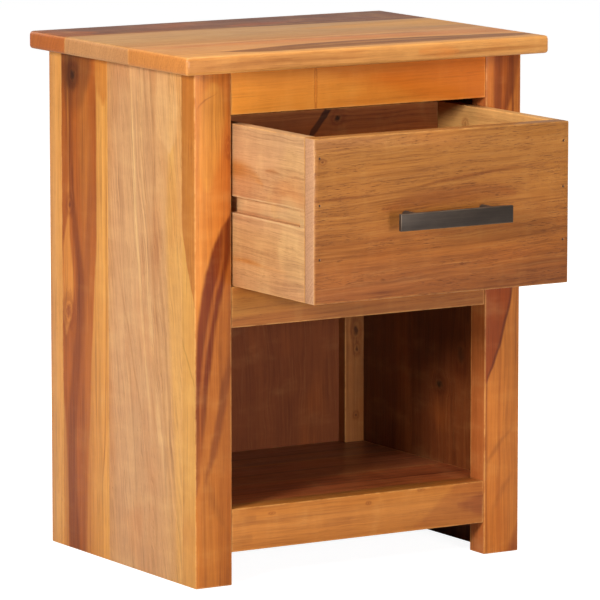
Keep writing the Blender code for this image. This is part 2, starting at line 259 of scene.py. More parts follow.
# What a layer does to the colour: the noise values it fades between, and how strong it gets
DARK_LINES = (0.34, 0.60, 0.34)
DARK_BANDS = (0.32, 0.66, 0.20)
DARK_THREADS = (0.34, 0.56, 0.32)
DARK_STRANDS = (0.28, 0.66, 0.18)
DARK_SHIMMER = (0.28, 0.68, 0.15)
WARM_PATCHES = (0.50, 0.78, 0.45)
GLOW_SHIMMER = (0.50, 0.80, 0.15)
GLOW_THREADS = (0.54, 0.72, 0.10)
BUSY = (0.34, 0.64, 1.1)
BUSY_LEAST = 0.3
LIVELY = (0.34, 0.64, 1.2)
LIVELY_LEAST = 0.2

PORE_CROWD = (0.30, 0.62, 1.0)
SHORT_PORES = (0.60, 0.72, 1.0)
LONG_PORES = (0.60, 0.74, 0.6)
PORE_SHOWS = 0.6

# Knots: where heart and rim begin and end, in knot sizes, and how frayed and strong they are
HEART_SPREAD = (0.25, 1.15)
RIM_BEGINS = (0.8, 1.3)
RIM_ENDS = (1.3, 2.6)
KNOT_FRAY = 0.5
KNOT_GNARL = 1.3
HEART_SHOWS = 0.9
RIM_SHOWS = 0.40

# The pith that the end grain's rings go round, past the board's low corner
PITH = (0.035, 0.021)
RING_SWAY = 0.01
DARK_RINGS = (0.30, 0.66, 0.20)
DARK_SPECKS = (0.34, 0.52, 0.22)
END_SHOWS = 0.85

EDGE_WIDTH = 2.0 * MM
RUBBED_CHIPS = (0.30, 0.60, 1.0)

# Lacquer: what makes it duller, its coat, and how deep the grain is felt through it
DULL_STRANDS = (0.3, 0.7, 0.10)
DULL_PORES = 0.25
DULL_RUBBED = 0.12
DULL_SMEAR = 0.12
DULL_ENDS = 0.14
SMEAR_MIDDLE = 0.5
COAT_ROUGHNESS = 0.16
SPECULAR = 0.25
RELIEF = {"strands": 0.35, "lines": 0.35, "pores": -1.1, "smear": 0.4}
RELIEF_STRENGTH = 0.35
RELIEF_DEPTH = 0.00035

LINE_TONE = varnished("7A3F1C")
WARM_TONE = varnished("C9702C")
GLOW_TONE = varnished("F3CF9C")
PORE_TONE = varnished("6E3A1B")
RIM_TONE = varnished("A5643A")
RING_TONE = varnished("8A5028")
RUBBED_TONE = varnished("F0BE84")


class Board:
    """The coordinates, noise layers and masks that one board's material is made of."""

    def __init__(self, tree, node, along, seed):
        self.tree = tree
        self.low, self.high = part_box(node)
        self.seed = seed
        self.along = along
        coordinates = tree.nodes.new("ShaderNodeTexCoord")
        self.place = split_xyz(tree, coordinates.outputs["Object"])
        normal = split_xyz(tree, coordinates.outputs["Normal"])
        self.facing = {}
        for axis, field in zip(AXES, normal):
            self.facing[axis] = abs(field)
            self.facing["+" + axis] = field
            self.facing["-" + axis] = field * -1.0
        self.local = {axis: self.place[i] - self.low[i] for i, axis in enumerate(AXES)}
        self.size = {axis: self.high[i] - self.low[i] for i, axis in enumerate(AXES)}
        self.others = [axis for axis in AXES if axis != along]
        self.straight = join_xyz(
            tree, self.local[along], self.local[self.others[0]], self.local[self.others[1]]
        )

    def layer(self, name, place=None):
        """A noise layer, laid straight along the board if no place is given."""
        scale, number, detail, roughness = LAYERS[name]
        place = self.straight if place is None else place
        return noise(self.tree, place, scale, self.seed + number, detail, roughness)

    def turned(self, face):
        """1 on the faces that look along an axis, or along one side of it."""
        return self.facing[face].rise(*TURNED)

    def edge(self, width):
        """1 on an edge of the board, 0 at that distance from it."""
        gaps = []
        for index in range(3):
            middle = (self.low[index] + self.high[index]) / 2
            half = (self.high[index] - self.low[index]) / 2
            gaps.append(half - abs(self.place[index] - middle))
        nearest = gaps[0].least(gaps[1])
        second = gaps[0].most(gaps[1]).least(nearest.most(gaps[2]))
        return 1.0 - second.rise(width * 0.25, width)

    def path(self, points):
        """The middle line, half width and strength of a streak, as fields along the board."""
        length = self.size[self.along]
        stops = []
        for along, across, half, *strength in points:
            centre = (across * MM + PATH_SHIFT) / PATH_SPAN
            strong = strength[0] if strength else 1.0
            stops.append((along * MM / length, (centre, half * MM / HALF_SPAN, strong, 1.0)))
        channels = split_xyz(self.tree, ramp(self.tree, self.local[self.along] / length, stops))
        return channels[0] * PATH_SPAN - PATH_SHIFT, channels[1] * HALF_SPAN, channels[2]


def streak(colour, points, soft=3.0, face=None, across=None):
    """A band of another colour: points are (along, across, half width) and maybe strength.

    face is the axis that the banded faces look along, with + or - for one side only.
    """
    return {"colour": colour, "points": points, "soft": soft, "face": face, "across": across}


def knot(along, across, length, width, colour="4A2618", face=None):
    return {"at": (along, across), "size": (length, width), "colour": colour, "face": face}


def above(field, fade, part=1.0):
    """The setting's strength where a field is high, 0 where it is low."""
    low, high, strength = fade
    return field.rise(low, high) * (strength * part)


def below(field, fade, part=1.0):
    """The setting's strength where a field is low, 0 where it is high."""
    low, high, strength = fade
    return (1.0 - field.rise(low, high)) * (strength * part)


def figure_place(board, over, slow, wave, lean, knots):
    """The place across the board, pushed sideways by waves, a lean and the knots."""
    run = board.local[board.along]
    flow = over + slow * (SLOW_PUSH * wave * MM)
    flow = flow + (board.layer("swirl") - 0.5) * (SWIRL_PUSH * wave * MM)
    flow = flow + (board.layer("quick") - 0.5) * (QUICK_PUSH * wave * MM)
    flow = flow - run * lean
    for item in knots:
        reach_along, reach_over = (size * KNOT_REACH * MM for size in item["size"])
        away = over - item["at"][1] * MM
        apart = (run - item["at"][0] * MM) / reach_along
        spread = (away / reach_over).math("POWER", 2.0)
        near = (apart * apart + spread).rise(KNOT_FADE, 0.0)
        flow = flow - near * away * KNOT_BEND
    return flow


def lay_streak(board, colour, item, across, sway, fuzz, tint):
    """The colour with one streak over it."""
    soft = item["soft"] * MM
    centre, half, strength = board.path(item["points"])
    line = board.local[item["across"] or across] + sway + fuzz * (soft * STREAK_FRAY)
    gap = abs(line - centre) - half
    inside = (1.0 - gap.rise(-soft, soft)) * strength * half.rise(*STREAK_SHOWS)
    if item["face"]:
        inside = inside * board.turned(item["face"])
    return mix(board.tree, inside, colour, varnished(item["colour"], tint))


def lay_growth(board, colour, grain, lines, strands, figure, fibre, mottle):
    """The colour with growth lines, fibres and cross-grain shimmer."""
    threads = board.layer("threads", grain)
    shimmer = board.layer("shimmer")
    busy = above(board.layer("busy"), BUSY) + BUSY_LEAST
    lively = above(board.layer("lively"), LIVELY) + LIVELY_LEAST
    dark = below(lines, DARK_LINES, figure) * busy
    dark = dark + below(board.layer("bands", grain), DARK_BANDS, figure)
    dark = dark + below(threads, DARK_THREADS, fibre) * lively
    dark = dark + below(strands, DARK_STRANDS, fibre)
    dark = dark + below(shimmer, DARK_SHIMMER, mottle)
    colour = mix(board.tree, dark, colour, LINE_TONE, "MULTIPLY")
    warm = above(board.layer("patches"), WARM_PATCHES, mottle)
    colour = mix(board.tree, warm, colour, WARM_TONE)
    glow = above(shimmer, GLOW_SHIMMER, mottle) + above(threads, GLOW_THREADS, fibre)
    return mix(board.tree, glow, colour, GLOW_TONE, "SCREEN")


def pore_mask(board, grain):
    """1 in the pores: short dark dashes along the grain, in crowds."""
    crowd = above(board.layer("crowd", grain), PORE_CROWD)
    short = above(board.layer("dashes", grain), SHORT_PORES) * crowd
    return short.most(above(board.layer("long_pores", grain), LONG_PORES) * crowd)


def lay_knot(board, colour, item, over, fuzz, gnarl):
    """The colour with a knot over it: a dark heart in a darker, frayed rim."""
    away = (over - item["at"][1] * MM) / (item["size"][1] * MM)
    apart = (board.local[board.along] - item["at"][0] * MM) / (item["size"][0] * MM)
    spread = (away * away + apart * apart).math("SQRT")
    spread = spread + fuzz * KNOT_FRAY + gnarl * KNOT_GNARL
    heart = 1.0 - spread.rise(*HEART_SPREAD)
    rim = spread.rise(*RIM_BEGINS) * (1.0 - spread.rise(*RIM_ENDS))
    if item["face"]:
        seen = board.turned(item["face"])
        heart = heart * seen
        rim = rim * seen
    colour = mix(board.tree, rim * RIM_SHOWS, colour, RIM_TONE, "MULTIPLY")
    return mix(board.tree, heart * HEART_SHOWS, colour, varnished(item["colour"]))


def end_grain(board, slow, end):
    """The end grain's colour, with rings round a pith outside the board, and its dark parts."""
    first, second = (board.local[axis] + away for axis, away in zip(board.others, PITH))
    radius = (first * first + second * second).math("SQRT")
    rings = board.layer("rings", join_xyz(board.tree, radius, slow * RING_SWAY, 0.0))
    dark = below(rings, DARK_RINGS) + below(board.layer("specks"), DARK_SPECKS)
    return mix(board.tree, dark, varnished(end), RING_TONE, "MULTIPLY"), dark


def wood(
    node,
    along,
    across,
    tones,
    end,
    streaks=(),
    knots=(),
    seed=1.0,
    lean=0.0,
    wave=4.0,
    figure=0.5,
    fibre=0.5,
    pores=0.5,
    mottle=0.3,
    rough=0.34,
    coat=0.10,
    wear=0.35,
    slant=0.0,
    outside=None,
    tint=(1.0, 1.0, 1.0),
):
    """One board's wood, with its grain along one axis and its tones across another.

    tones are (across, colour) stops and end is the end grain's colour. outside is a face and
    the tone it has instead. lean tilts the tones and the growth lines, slant only the lines.
    """
    material, tree, shader = new_material(node)
    board = Board(tree, node, along, seed)
    run = board.local[along]
    over = board.local[across]
    slow = board.layer("slow") - 0.5
    fuzz = board.layer("fuzz") - 0.5
    flow = figure_place(board, over, slow, wave, lean, knots)

    # Tones across the grain, and streaks over them
    span = board.size[across]
    stops = [(offset * MM / span, varnished(tone, tint)) for offset, tone in tones]
    colour = ramp(tree, flow / span, stops, "B_SPLINE" if len(stops) > 3 else "LINEAR")
    if outside:
        face, tone = outside
        colour = mix(tree, board.turned(face), colour, varnished(tone, tint))
    for item in streaks:
        sway = slow * (STREAK_PUSH * wave * MM)
        colour = lay_streak(board, colour, item, across, sway, fuzz, tint)

    # What follows the grain: growth lines, fibres and pores
    third = next(axis for axis in AXES if axis not in (along, across))
    grain = join_xyz(tree, run, flow - run * slant, board.local[third])
    lines = board.layer("lines", grain)
    strands = board.layer("strands", grain)
    colour = lay_growth(board, colour, grain, lines, strands, figure, fibre, mottle)
    pore = pore_mask(board, grain) * pores
    colour = mix(tree, pore * PORE_SHOWS, colour, PORE_TONE, "MULTIPLY")

    # Knots, end grain and rubbed edges
    if knots:
        gnarl = board.layer("gnarl") - 0.5
    for item in knots:
        colour = lay_knot(board, colour, item, over, fuzz, gnarl)
    end_colour, end_dark = end_grain(board, slow, end)
    at_end = board.facing[along].rise(*TURNED_END)
    colour = mix(tree, at_end * END_SHOWS, colour, end_colour)
    rubbed = board.edge(EDGE_WIDTH) * above(board.layer("chips"), RUBBED_CHIPS, wear)
    colour = mix(tree, rubbed, colour, RUBBED_TONE)
    plug(tree, colour, shader.inputs["Base Color"])

    # Lacquer: duller in the pores, at the ends and where it was rubbed
    smear = board.layer("smear")
    dull = pore * DULL_PORES + below(strands, DULL_STRANDS) + rubbed * DULL_RUBBED
    dull = dull + (smear - SMEAR_MIDDLE) * DULL_SMEAR + at_end * DULL_ENDS
    plug(tree, dull + rough, shader.inputs["Roughness"])
    shader.inputs["Coat Weight"].default_value = coat
    shader.inputs["Coat Roughness"].default_value = COAT_ROUGHNESS
    shader.inputs["Specular IOR Level"].default_value = SPECULAR
    height = strands * RELIEF["strands"] + lines * RELIEF["lines"] + smear * RELIEF["smear"]
    height = height + pore * RELIEF["pores"] - end_dark * at_end
    bump(tree, shader, height, RELIEF_STRENGTH, RELIEF_DEPTH)
    dress(node, material)


# ---------------------------------------------------------------- boards seen in the view


def top_boards():
    wood(
        "top_board_front", "x", "y",
        [(0, "D89C60"), (9, "D89D60"), (16, "D4985F"), (60, "D2945C"), (85, "D0955E"),
         (108, "D19A65")],
        "CF8C50", seed=1, tint=(1.16, 1.30, 1.54), wave=3.0, figure=0.45, mottle=0.35, pores=0.35,
        streaks=[
            streak("8F5A2E", [
                (52, 30, 0), (72, 27, 8), (100, 27, 15), (140, 33, 19), (200, 36, 21),
                (260, 35, 20), (300, 33, 17), (380, 28, 11), (394, 27, 5),
            ], 5.0, "z"),
            streak("B07B48", [(120, 31, 0), (170, 38, 2.5, 0.7), (230, 41, 3.5, 0.8),
                              (300, 38, 3, 0.7), (380, 31, 1, 0.4)], 2.5, "z"),
            streak("AE7844", [(130, 22, 0), (190, 22, 1.5, 0.7), (260, 21, 2, 0.7),
                              (340, 24, 1.2, 0.5)], 2.0, "z"),
            streak("744421", [(90, 35, 0.5, 0.4), (140, 46, 1.2, 0.8), (200, 53, 1.5, 0.9),
                              (260, 51, 1.5, 0.9), (310, 45, 1.2, 0.8), (370, 35, 0.8, 0.5)],
                   2.0, "z"),
            streak("7A4A26", [(150, 30, 0.5, 0.4), (210, 31, 1.2, 0.8), (270, 30, 1.2, 0.8),
                              (350, 28, 0.8, 0.4)], 1.6, "z"),
            streak("BC8048", [(60, 46, 0.6, 0.3), (140, 62, 1.2, 0.6), (210, 69, 1.6, 0.7),
                              (280, 66, 1.4, 0.7), (400, 48, 0.8, 0.4)], 2.0, "z"),
            streak("C9773A", [(0, 90, 12, 0.4), (200, 86, 14, 0.7), (400, 70, 20, 0.5)], 8.0, "z"),
            streak("B4763F", [(0, 8, 20, 0.8), (90, 8, 20, 0.6), (180, 8, 20, 0.3),
                              (400, 8, 20, 0.1)], 2.0, "y", "z"),
            streak("A76A38", [(10, 6, 0), (40, 7, 2, 0.6), (90, 9, 3, 0.7), (150, 8, 1.5, 0.5),
                              (200, 6, 0)], 2.0, "y", "z"),
            streak("A0622F", [(230, 5, 0), (290, 6, 1.5, 0.6), (360, 8, 2, 0.6), (400, 8, 1, 0.4)],
                   1.5, "y", "z"),
            streak("D98440", [(250, 9, 0), (266, 9, 4, 0.4), (278, 8, 5, 0.5), (300, 8, 0)],
                   4.0, "y", "z"),
        ],
    )
    wood(
        "top_board_middle", "x", "y",
        [(0, "CE9259"), (14, "CF9962"), (40, "D2A575"), (80, "D3A97F"), (105, "D1A57B"),
         (121, "CB9A70")],
        "CB9A76", seed=2, tint=(0.96, 0.96, 0.94), wave=3.0, figure=0.35, mottle=0.2, pores=0.3,
        streaks=[
            streak("8D5A3A", [(0, 128, 9), (200, 126, 14), (400, 124, 24)], 2.5, "z"),
            streak("E6AC62", [(230, 70, 0), (290, 66, 20, 0.8), (400, 60, 30, 0.9)], 10.0, "z"),
        ],
    )
    wood(
        "top_board_back", "x", "y",
        [(0, "8A5837"), (20, "925E3E"), (40, "8C5A42"), (58, "936349"), (71, "8A5E4A")],
        "C9773F", seed=3, tint=(0.97, 0.93, 0.93), wave=5.0, figure=0.8, mottle=0.9, pores=0.4,
        streaks=[
            streak("BD7440", [(0, 30, 40, 0.8), (24, 28, 30, 0.6), (50, 25, 0)], 8.0, "z"),
            streak("B4693C", [(180, 8, 0), (225, 12, 12, 0.6), (260, 14, 0)], 5.0, "z"),
        ],
    )


def left_side():
    wood(
        "side_board_left_front", "z", "y",
        [(0, "DCA265"), (15, "DBA66C"), (30, "D8A775"), (50, "D4A276"), (75, "D9A97E"),
         (96, "DCAC80"), (118, "D6A379"), (130, "D9A578"), (138, "D29A67")],
        "D19A66", seed=11, tint=(1.11, 1.20, 1.45), wave=8.0, slant=0.13, figure=0.5, mottle=0.55,
        pores=0.45,
        streaks=[
            streak("E0AA64", [(0, 0, 12), (150, 2, 14), (240, 8, 16), (340, 15, 13),
                              (400, 18, 5)], 5.0),
            streak("C08A60", [(100, 62, 1.0, 0.5), (180, 84, 1.2, 0.7), (240, 104, 1.2, 0.7),
                              (330, 128, 0.8, 0.4)], 1.6),
            streak("EBC290", [(110, 52, 1.0, 0.4), (200, 66, 2.0, 0.7), (300, 80, 2.0, 0.8),
                              (400, 89, 2.2, 0.8), (480, 94, 1.5, 0.5)], 2.2),
            streak("C6905F", [(60, 20, 1.0, 0.4), (140, 30, 1.4, 0.6), (240, 46, 1.4, 0.7),
                              (340, 62, 1.4, 0.5), (470, 80, 1.0, 0.4)], 1.8),
            streak("CB9566", [(120, 16, 0.8, 0.3), (180, 26, 1.4, 0.6), (260, 36, 1.2, 0.6),
                              (330, 50, 0.6, 0.3)], 1.6),
            streak("E9BE8C", [(60, 26, 1.0, 0.3), (150, 44, 3.0, 0.6), (260, 60, 3.0, 0.6),
                              (380, 72, 2.0, 0.4)], 3.0),
            streak("E2B382", [(404, 22, 0), (418, 26, 16, 0.6), (450, 30, 22, 0.7),
                              (476, 32, 20, 0.6)], 4.0),
            streak("C28C60", [(440, 50, 3.0, 0.5), (482, 52, 6.0, 0.8)], 4.0),
            streak("CF9B70", [(0, 60, 30, 0.5), (90, 62, 26, 0.4), (170, 66, 0)], 10.0),
        ],
    )
    wood(
        "side_board_left_back", "z", "y",
        [(0, "DC9C5B"), (8, "E2A464"), (17, "E3A566"), (60, "B5662F"), (89, "B5662F")],
        "BF7A46", seed=12, tint=(1.16, 1.24, 1.10), wave=2.5, figure=0.55, mottle=0.3, pores=0.3,
        streaks=[
            streak("B16027", [(0, 67, 22), (120, 63, 25), (200, 60, 28), (280, 57, 32),
                              (310, 56, 34), (482, 56, 34)], 2.2),
            streak("B87038", [(300, 42, 8, 0.5), (380, 44, 12, 0.8), (440, 46, 10, 0.7)], 6.0),
            streak("90481B", [(0, 68, 11), (80, 72, 8), (140, 69, 8), (200, 60, 7), (260, 54, 7),
                              (300, 61, 6), (340, 69, 5), (400, 74, 5), (482, 74, 8)], 3.5),
            streak("D98E4C", [(206, 82, 0), (222, 80, 6), (245, 79, 10), (272, 79, 10),
                              (300, 80, 6), (326, 77, 1)], 2.5),
            streak("D08C54", [(0, 87, 7), (100, 88, 6), (140, 90, 4), (190, 92, 0)], 2.5),
            streak("6A3A22", [(418, 66, 8, 0), (432, 66, 16, 0.3), (448, 64, 24, 0.55),
                              (464, 62, 28, 0.75), (482, 60, 30, 0.6)], 6.0),
            streak("4E2A1A", [(440, 70, 4, 0), (450, 70, 9, 0.5), (464, 68, 12, 0.6),
                              (482, 66, 14, 0.3)], 4.0),
            streak("CB8140", [(436, 8, 0), (452, 8, 12, 0.8), (482, 10, 14, 0.9)], 5.0),
            streak("B9773F", [(76, 13, 0.6), (110, 8, 0.9), (160, 6, 0.9), (204, 4, 0.5)], 1.2),
            streak("9A5228", [(150, 50, 4, 0.5), (240, 47, 5, 0.6), (330, 36, 5, 0.6),
                              (420, 32, 3, 0.3)], 3.0),
        ],
        knots=[
            knot(461, 67, 7, 6, "33190F"),
            knot(335, 74, 6, 4, "7A3A20"),
            knot(232, 77, 9, 6, "9C5029"),
        ],
    )
    wood(
        "post_back_left", "z", "y",
        [(0, "D69A58"), (10, "DFA563"), (17, "D9A168"), (24, "D08E4C")],
        "C98B50", seed=13, tint=(1.26, 1.29, 1.35), wave=1.5, figure=0.4, mottle=0.25,
    )


def front_posts():
    wood(
        "post_front_left", "z", "x",
        [(0, "D4823F"), (12, "D98843"), (28, "D37A38"), (39.5, "C96D30")],
        "B97038", seed=21, tint=(0.96, 1.11, 1.08), wave=2.5, figure=0.5, mottle=0.5, pores=0.25,
        streaks=[
            streak("BA692F", [(0, 20, 24, 0.3), (60, 20, 24, 0.4), (120, 22, 24, 0.8),
                              (250, 30, 22, 0.9), (330, 38, 14, 0.5), (350, 44, 0)], 5.0, "y"),
            streak("7C320C", [(84, 0, 0), (100, 2, 3, 0.6), (150, 4, 6, 0.8), (200, 8, 8),
                              (250, 13, 10), (280, 19, 11), (300, 24, 11), (325, 31, 9),
                              (340, 36, 6), (354, 41, 1)], 2.4, "y"),
            streak("B8652E", [(170, 6, 1.0, 0.6), (230, 12, 2.0, 0.8), (280, 22, 2.0, 0.7),
                              (310, 30, 1.5, 0.5)], 1.8, "y"),
            streak("914A24", [(96, 10, 1.5, 0.5), (120, 18, 3, 0.8), (140, 23, 4, 0.9),
                              (165, 28, 4, 0.9), (195, 33, 4, 0.8), (222, 38, 2, 0.4)], 2.5, "y"),
            streak("A9622F", [(50, 34, 1.0, 0.2), (62, 28, 3.0, 0.4), (80, 20, 3.5, 0.5),
                              (100, 14, 2.5, 0.4), (116, 10, 1.0, 0.2)], 3.5, "y"),
            streak("E09A52", [(370, 14, 0), (392, 14, 9, 0.6), (430, 18, 12, 0.7),
                              (464, 20, 10, 0.5), (474, 20, 0)], 5.0, "y"),
            streak("A05626", [(448, 2, 0.5, 0.3), (455, 8, 1.0, 0.7), (459, 14, 1.1, 0.7),
                              (463, 24, 0.5, 0.3)], 1.6, "y"),
            streak("DFA161", [(0, 12, 14), (262, 12, 14), (480, 12, 14)], 3.0, "x", "y"),
            streak("C0773A", [(262, 0, 0), (280, 2, 4), (300, 6, 7.5), (322, 9, 10.5),
                              (345, 12, 13), (482, 12, 14)], 1.2, "x", "y"),
            streak("C28A4C", [(186, 0, 0.5), (200, 6, 1), (220, 17, 1), (236, 24, 0.6)],
                   1.2, "x", "y"),
        ],
        knots=[
            knot(412, 36, 6, 1.6, "9A4E20", "y"),
        ],
    )
    wood(
        "post_front_right", "z", "x",
        [(0, "CC8040"), (12, "D48B48"), (28, "D6904E"), (39.5, "CB8345")],
        "A86536", seed=22, tint=(1.00, 1.04, 1.00), wave=2.5, figure=0.5, mottle=0.6, pores=0.25,
        streaks=[
            streak("D27C36", [(395, 20, 22, 0.6), (482, 20, 24)], 4.0, "y"),
            streak("994F25", [(398, 14, 0), (416, 15, 5), (432, 17, 8), (446, 20, 11),
                              (462, 22, 13), (482, 23, 14)], 2.6, "y"),
            streak("B9662F", [(420, 18, 1.0, 0.6), (445, 20, 2.2, 0.8), (478, 22, 3, 0.9)],
                   1.8, "y"),
            streak("A44E1D", [(164, 2, 0), (180, 4, 5), (200, 7, 10), (230, 11, 14), (255, 14, 16),
                              (300, 12, 10), (335, 8, 0)], 1.6, "y"),
            streak("7A3A1F", [(168, 3, 0.6), (180, 8, 1), (200, 16, 1.2), (230, 24, 1.2),
                              (255, 30, 1)], 1.4, "y"),
            streak("B06A34", [(84, 2, 1.5, 0.4), (96, 9, 2.5, 0.7), (112, 22, 2.5, 0.6),
                              (122, 32, 1.5, 0.3)], 2.5, "y"),
            streak("B56F38", [(30, 8, 1, 0.3), (50, 14, 3, 0.6), (66, 24, 3, 0.6),
                              (80, 34, 1, 0.3)], 2.5, "y"),
            streak("A4562B", [(0, 36, 9, 0.9), (14, 38, 6, 0.7), (30, 40, 0)], 3.5, "y"),
            streak("BF6F45", [(0, 12, 20, 0.9), (482, 12, 20, 0.9)], 2.0, "-x", "y"),
        ],
    )


def front_rails():
    # The top rail's tone darkens toward its upper edge: painted shade under the top's overhang. Its
    # other tones are the wood's own.
    wood(
        "rail_front_top", "x", "z",
        [(0, "CF7A33"), (20, "CE7730"), (41, "C46C2C")],
        "A86030", seed=31, tint=(1.19, 1.45, 1.51), wave=2.5, figure=0.28, fibre=0.3, mottle=0.35,
        pores=0.25, lean=0.02,
        streaks=[
            streak("D8863C", [(0, 20, 24, 0.8), (90, 18, 20, 0.6), (150, 16, 0)], 9.0),
            streak("CB681F", [(150, 26, 0), (210, 22, 18, 0.7), (281, 20, 24, 0.9)], 9.0),
        ],
        knots=[knot(92, 22, 0.9, 15, "CC7A34", "y")],
    )
    # The middle rail's dark tones are partly its own wood and partly painted shade: the pulled-out
    # drawer's shadow is laid into the colour.
    wood(
        "rail_front_middle", "x", "z",
        [(0, "A2663A"), (12, "A86B3C"), (26, "AA6D3C"), (39, "A86A38")],
        "8A5730", seed=32, tint=(1.08, 1.15, 1.15), wave=2.0, figure=0.6, mottle=0.3, pores=0.5,
        lean=0.02,
        streaks=[
            streak("AB753C", [(0, 22, 12, 0.8), (50, 20, 8, 0.5), (90, 18, 0)], 5.0),
            streak("B46F3E", [(120, 14, 0), (180, 16, 10, 0.5), (281, 18, 14, 0.6)], 6.0),
        ],
    )
    wood(
        "rail_front_bottom", "x", "z",
        [(0, "CA8243"), (14, "CF8746"), (28, "D08A48"), (41, "CB8342")],
        "A66A38", seed=33, tint=(1.00, 1.05, 1.10), wave=3.0, figure=0.45, mottle=0.45, pores=0.3,
        streaks=[
            streak("B8703A", [(200, 4, 0), (225, 12, 8, 0.6), (250, 22, 18, 0.8),
                              (281, 24, 22)], 4.0),
            streak("9E5830", [(250, 20, 0), (268, 19, 6, 0.8), (281, 18, 10, 0.9)], 4.0),
            streak("B0703A", [(0, 12, 4, 0.3), (10, 12, 5, 0.5), (24, 12, 0)], 6.0),
            streak("B0703A", [(0, 31, 5, 0.3), (14, 31, 6, 0.5), (28, 31, 0)], 6.0),
        ],
        knots=[
            knot(44, 33, 2.0, 0.8, "9A5A2C", "y"),
            knot(151, 32, 1.8, 1.1, "8A4E28", "y"),
            knot(210, 39, 2.4, 0.9, "9A5A2C", "y"),
        ],
    )


def drawer_boards():
    wood(
        "drawer_front", "x", "z",
        [(0, "AE6C3C"), (20, "B47241"), (45, "B97A47"), (72, "BC7F4B"), (100, "BE8350"),
         (130, "C48B56"), (151, "C48C5C")],
        "CBA596", seed=41, tint=(0.81, 0.80, 0.68), wave=3.5, figure=0.6, fibre=0.6, mottle=0.25,
        pores=1.2, lean=0.035, wear=0.25,
        streaks=[
            streak("A5613A", [(70, 82, 0), (95, 86, 6, 0.6), (135, 90, 8, 0.6), (200, 92, 6, 0.5),
                              (222, 88, 0)], 5.0, "y"),
            streak("955730", [(0, 95, 0.8, 0.6), (40, 96, 1.0, 0.8), (80, 97, 0.6, 0.4)], 1.2, "y"),
            streak("93552F", [(90, 98, 0.5, 0.3), (130, 104, 1.2, 0.7), (190, 110, 1.2, 0.8),
                              (250, 114, 0.8, 0.5)], 1.6, "y"),
            streak("9A5A32", [(0, 50, 0.8, 0.4), (60, 54, 1.2, 0.6), (130, 57, 1.5, 0.5)],
                   2.0, "y"),
            streak("9C5C33", [(40, 18, 0.6, 0.3), (110, 22, 1.2, 0.7), (200, 28, 1.2, 0.6),
                              (278, 34, 0.8, 0.5)], 1.8, "y"),
            streak("CC8F55", [(0, 118, 3, 0.5), (60, 122, 5, 0.7), (140, 128, 4, 0.4),
                              (200, 132, 0)], 5.0, "y"),
            streak("D0935A", [(226, 92, 0), (252, 96, 6, 0.7), (278, 98, 6, 0.6)], 5.0, "y"),
            streak("A96840", [(0, 4, 8, 0.5), (140, 6, 10, 0.6), (278, 10, 12, 0.5)], 6.0, "y"),
        ],
        knots=[knot(9, 130, 2.4, 1.6, "6A3A1D", "y")],
    )
    wood(
        "drawer_side_left", "y", "z",
        [(0, "D29C7C"), (25, "D69E78"), (50, "D6A27A"), (72, "D2A088"), (95, "D39C7A"),
         (125, "D4A286"), (151, "D6AA8E")],
        "D9A878", seed=42, tint=(1.02, 1.14, 1.18), wave=5.0, figure=0.5, fibre=0.45, mottle=0.8,
        pores=0.5, wear=0.3, rough=0.45, coat=0.15,
        streaks=[
            streak("CC8446", [(70, 100, 0), (92, 108, 5, 0.5), (116, 110, 8, 0.8),
                              (140, 108, 8, 0.7), (199, 104, 8, 0.5)], 5.0, "x"),
            streak("C57E44", [(60, 24, 0.8, 0.3), (95, 26, 2.0, 0.8), (120, 26, 1.5, 0.6),
                              (199, 25, 1, 0.4)], 1.8, "x"),
            streak("C98A66", [(30, 95, 0), (36, 96, 2, 0.8), (46, 97, 0)], 1.5, "x"),
            streak("E8C6A6", [(8, 77, 6, 0.6), (120, 77, 6, 0.5), (192, 77, 6, 0.4)], 1.0, "x"),
            # Two pale lines just above and below the groove: painted highlights on the groove's
            # edges.
            streak("F4DCC2", [(8, 85.2, 0.5, 0.9), (192, 85.2, 0.5, 0.9)], 0.6, "x"),
            streak("F4DCC2", [(8, 68.2, 0.5, 0.7), (192, 68.2, 0.5, 0.7)], 0.6, "x"),
            streak("C08058", [(40, 114, 0), (56, 115, 2, 0.7), (72, 114, 0)], 1.8, "x"),
            streak("D8AC84", [(0, 75, 60, 0.5), (30, 80, 60, 0.5), (56, 80, 30, 0.2),
                              (70, 80, 0)], 10.0, "x"),
        ],
    )
    wood(
        "drawer_side_right", "y", "z",
        [(0, "D39A60"), (50, "D8A164"), (100, "D9A364"), (151, "DDB080")],
        "D9A878", seed=43, tint=(1.06, 1.12, 1.12), wave=5.0, figure=0.5, mottle=0.5, pores=0.5,
        wear=0.3, rough=0.45, coat=0.15,
        knots=[knot(140, 134, 3, 3, "A87446")],
    )
    wood(
        "drawer_back", "x", "z",
        [(0, "A66C3C"), (60, "A8683A"), (120, "A06034"), (139, "A5683C")],
        "A8713F", seed=44, tint=(1.22, 1.20, 1.35), wave=4.0, figure=0.6, mottle=0.5, pores=0.5,
        rough=0.5, coat=0.1,
        streaks=[
            streak("4E2C1C", [(106, 108, 0), (110, 114, 4), (120, 125, 5), (129, 136, 5),
                              (134, 141, 4)], 1.6, "y"),
        ],
        knots=[knot(140, 128, 4.5, 4, "2E1A10", "y")],
    )


# ---------------------------------------------------------------- boards inside and behind

INNER_TONES = [(0.0, "8C5230"), (0.35, "9C5E38"), (0.7, "935532"), (1.0, "87502F")]
REAR_TONES = [(0.0, "B87F50"), (0.4, "C58C5C"), (0.8, "BC8455"), (1.0, "B0764A")]


def plain_board(node, along, across, tones, end, seed, **choices):
    """A board whose tones are given at fractions of its width instead of in millimetres."""
    low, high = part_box(node)
    width = (high - low)[AXES.index(across)] / MM
    stops = [(part * width, tone) for part, tone in tones]
    wood(node, along, across, stops, end, seed=seed, **choices)


